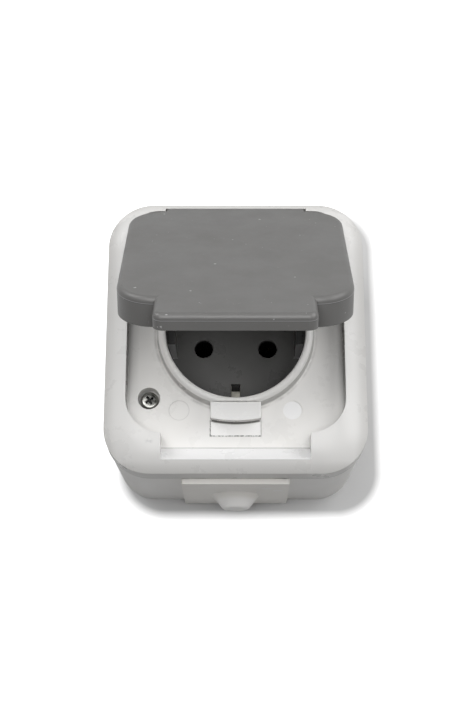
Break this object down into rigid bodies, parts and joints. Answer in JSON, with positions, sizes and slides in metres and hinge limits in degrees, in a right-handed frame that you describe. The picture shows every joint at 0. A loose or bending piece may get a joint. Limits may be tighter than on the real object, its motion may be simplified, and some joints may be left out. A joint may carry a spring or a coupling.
{
  "type": "weatherproof socket outlet",
  "caption": "surface-mounted round-pin earthed socket outlet in a rounded square box, with a sunk face, a raised collar and a hinged weather lid held half open",
  "frame": {"origin": "centre of the base's flat back face", "axes": "+Z out of the wall through the socket, +Y up the wall towards the hinge, +X to the right seen from the front"},
  "size_m": [0.0742, 0.086, 0.0974],
  "materials": {
    "housing_cover": "satin",
    "housing_base": "satin",
    "lid_plastic": "satin",
    "latch_plastic": "satin",
    "gland_plastic": "soft matt",
    "insert_plastic": "satin",
    "block_plastic": "matt",
    "seal_rubber": "matt",
    "gasket_rubber": "matt",
    "zinc_steel": "zinc plated",
    "pin_steel": "drawn wire",
    "strap_steel": "nickel plated",
    "contact_brass": "rolled",
    "terminal_brass": "machined"
  },
  "bodies": {
    "housing": {"base_box": "housing_base", "base_gasket": "gasket_rubber", "gland_plate": "gland_plastic", "front_cover": "housing_cover", "latch_insert": "latch_plastic", "cover_screw_lower": "zinc_steel", "cover_screw_upper": "zinc_steel", "hinge_pin": "pin_steel", "socket_insert": "insert_plastic", "contact_block": "block_plastic", "left_contact": "contact_brass", "right_contact": "contact_brass", "left_terminal": "terminal_brass", "right_terminal": "terminal_brass", "left_terminal_screw": "zinc_steel", "right_terminal_screw": "zinc_steel", "left_block_screw": "zinc_steel", "right_block_screw": "zinc_steel", "earth_strap": "strap_steel", "earth_clamp": "terminal_brass", "earth_screw": "zinc_steel"},
    "lid": {"hinged_lid": "lid_plastic", "lid_seal": "seal_rubber"}
  },
  "joints": [
    {"name": "lid_hinge", "type": "hinge", "parent": "housing", "child": "lid", "pos_m": [0, 0.03275, 0.0428], "axis": [-1, 0, 0], "range_deg": [-46, 48]}
  ]
}
